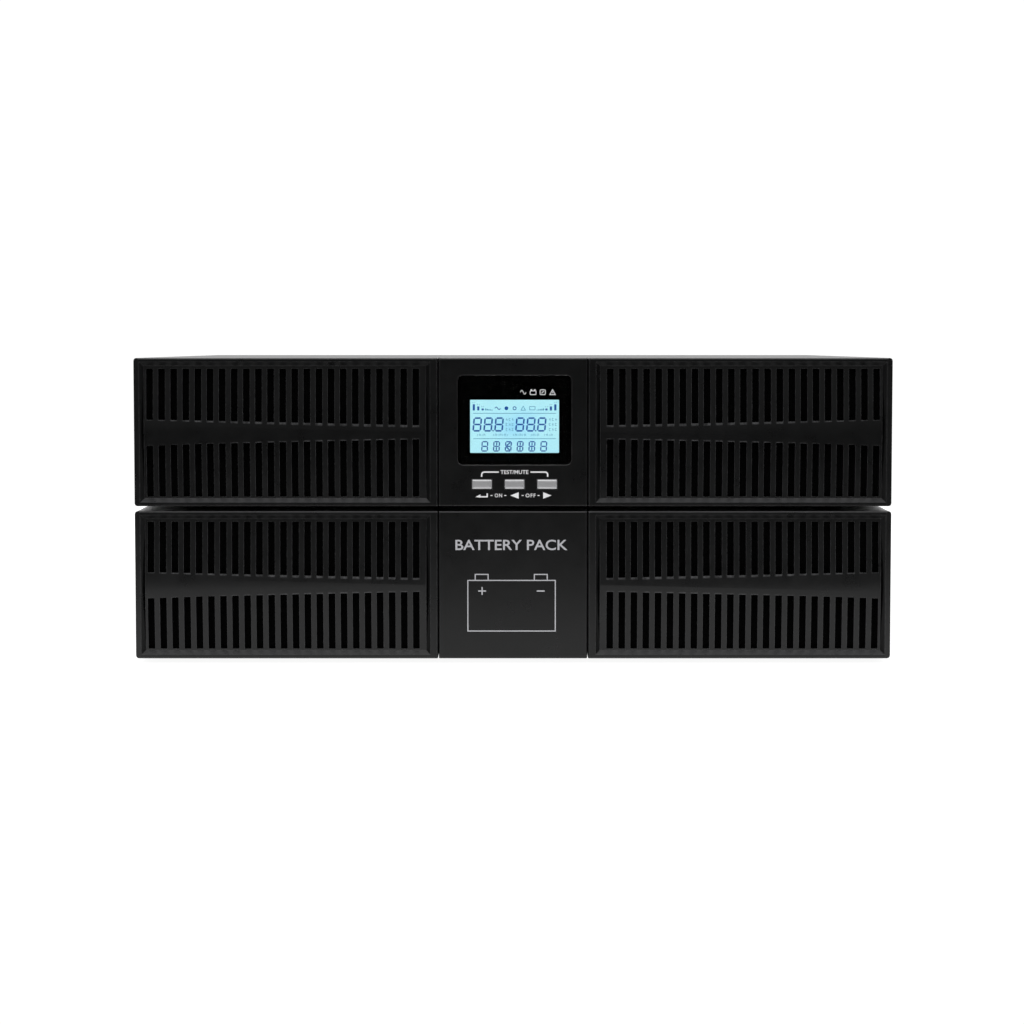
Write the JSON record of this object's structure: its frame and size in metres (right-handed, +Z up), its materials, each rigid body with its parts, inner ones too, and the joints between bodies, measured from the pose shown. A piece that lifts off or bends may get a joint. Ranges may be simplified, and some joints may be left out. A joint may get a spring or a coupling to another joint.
{
  "type": "rackmount ups",
  "caption": "Rackmount uninterruptible power supply: a slotted black power module with a backlit square display, resting on a matching battery pack.",
  "frame": {"origin": "middle of the footprint, on the surface that the feet rest on", "axes": "+X to the right seen from the front, +Y towards the rear panel, +Z up; the front panels face -Y"},
  "size_m": [0.44, 0.4348, 0.1778],
  "materials": {
    "bezel_plastic": "fine-textured black moulded plastic",
    "black_steel": "fine-textured black powder coat on steel sheet",
    "foot_rubber": "matte black rubber",
    "display_lens": "polished dark acrylic",
    "lcd": "pale blue backlit display glass",
    "circuit_board": "green solder mask",
    "button_grey": "satin silver-grey moulded plastic",
    "bright_steel": "bright plated steel",
    "fan_plastic": "black glass-filled plastic",
    "socket_plastic": "smooth black plastic",
    "grey_plastic": "mid-grey moulded plastic",
    "button_light": "off-white plastic",
    "bare_aluminium": "extruded aluminium",
    "zinc_steel": "zinc-plated steel sheet",
    "battery_case": "dark grey battery case plastic",
    "copper_winding": "enamelled copper wire",
    "capacitor_sleeve": "dark blue shrink sleeve",
    "white_print": "white screen print"
  },
  "bodies": {
    "battery_pack": {"pack_base_tray": "black_steel", "pack_cover": "black_steel", "pack_rear_panel": "black_steel", "pack_foot_front_left": "foot_rubber", "pack_foot_front_right": "foot_rubber", "pack_foot_rear_left": "foot_rubber", "pack_foot_rear_right": "foot_rubber", "battery_1": "battery_case", "battery_2": "battery_case", "battery_3": "battery_case", "battery_4": "battery_case", "battery_5": "battery_case", "battery_6": "battery_case", "battery_7": "battery_case", "battery_8": "battery_case", "battery_clamp": "zinc_steel", "pack_dc_connector_ups": "grey_plastic", "pack_dc_connector_link": "grey_plastic", "pack_breaker_body": "grey_plastic"},
    "pack_grille_left": {"pack_grille_left": "bezel_plastic"},
    "pack_grille_right": {"pack_grille_right": "bezel_plastic"},
    "pack_label_panel": {"pack_label_panel": "bezel_plastic"},
    "pack_breaker_toggle": {"pack_breaker_toggle": "socket_plastic"},
    "ups_module": {"ups_base_tray": "black_steel", "ups_cover": "black_steel", "ups_rear_panel": "black_steel", "ups_foot_front_left": "foot_rubber", "ups_foot_front_right": "foot_rubber", "ups_foot_rear_left": "foot_rubber", "ups_foot_rear_right": "foot_rubber", "fan_frame_outer": "fan_plastic", "fan_frame_inner": "fan_plastic", "fan_guard_outer": "bright_steel", "fan_guard_inner": "bright_steel", "slot_cover": "black_steel", "communication_card": "bright_steel", "ups_dc_connector": "grey_plastic", "outlet_strip": "socket_plastic", "outlet_large": "socket_plastic", "mains_inlet": "socket_plastic", "input_breaker_body": "socket_plastic", "power_board": "circuit_board", "heatsink_outer": "bare_aluminium", "heatsink_inner": "bare_aluminium", "boost_inductor": "copper_winding", "bus_capacitor_1": "capacitor_sleeve", "bus_capacitor_2": "capacitor_sleeve", "transformer": "copper_winding"},
    "ups_grille_left": {"ups_grille_left": "bezel_plastic"},
    "ups_grille_right": {"ups_grille_right": "bezel_plastic"},
    "display_module": {"display_housing": "bezel_plastic", "display_lens": "display_lens", "lcd_module": "lcd", "display_board": "circuit_board"},
    "button_enter": {"button_enter": "button_grey"},
    "button_left": {"button_left": "button_grey"},
    "button_right": {"button_right": "button_grey"},
    "fan_rotor_outer": {"fan_rotor_outer": "fan_plastic"},
    "fan_rotor_inner": {"fan_rotor_inner": "fan_plastic"},
    "input_breaker_button": {"input_breaker_button": "button_light"}
  },
  "joints": [
    {"name": "ups_lift", "type": "slide", "parent": "battery_pack", "child": "ups_module", "axis": [0, 0, 1], "range_m": [0, 0.1]},
    {"name": "ups_grille_left_pull", "type": "slide", "parent": "ups_module", "child": "ups_grille_left", "axis": [0, -1, 0], "range_m": [0, 0.03]},
    {"name": "ups_grille_right_pull", "type": "slide", "parent": "ups_module", "child": "ups_grille_right", "axis": [0, -1, 0], "range_m": [0, 0.03]},
    {"name": "pack_grille_left_pull", "type": "slide", "parent": "battery_pack", "child": "pack_grille_left", "axis": [0, -1, 0], "range_m": [0, 0.03]},
    {"name": "pack_grille_right_pull", "type": "slide", "parent": "battery_pack", "child": "pack_grille_right", "axis": [0, -1, 0], "range_m": [0, 0.03]},
    {"name": "display_pull", "type": "slide", "parent": "ups_module", "child": "display_module", "axis": [0, -1, 0], "range_m": [0, 0.03]},
    {"name": "label_panel_pull", "type": "slide", "parent": "battery_pack", "child": "pack_label_panel", "axis": [0, -1, 0], "range_m": [0, 0.03]},
    {"name": "button_enter_press", "type": "slide", "parent": "display_module", "child": "button_enter", "axis": [0, 1, 0], "range_m": [0, 0.001], "stiffness_N_per_m": 600, "springref_m": -0.0008},
    {"name": "button_left_press", "type": "slide", "parent": "display_module", "child": "button_left", "axis": [0, 1, 0], "range_m": [0, 0.001], "stiffness_N_per_m": 600, "springref_m": -0.0008},
    {"name": "button_right_press", "type": "slide", "parent": "display_module", "child": "button_right", "axis": [0, 1, 0], "range_m": [0, 0.001], "stiffness_N_per_m": 600, "springref_m": -0.0008},
    {"name": "fan_outer_spin", "type": "hinge", "parent": "ups_module", "child": "fan_rotor_outer", "pos_m": [0.172, 0.1974, 0.1348], "axis": [0, 1, 0], "continuous": true},
    {"name": "fan_inner_spin", "type": "hinge", "parent": "ups_module", "child": "fan_rotor_inner", "pos_m": [0.088, 0.1974, 0.1348], "axis": [0, 1, 0], "continuous": true},
    {"name": "input_breaker_trip", "type": "slide", "parent": "ups_module", "child": "input_breaker_button", "axis": [0, 1, 0], "range_m": [0, 0.003]},
    {"name": "pack_breaker_off", "type": "hinge", "parent": "battery_pack", "child": "pack_breaker_toggle", "pos_m": [-0.07, 0.2064, 0.0459], "axis": [-1, 0, 0], "range_deg": [0, 60]}
  ]
}
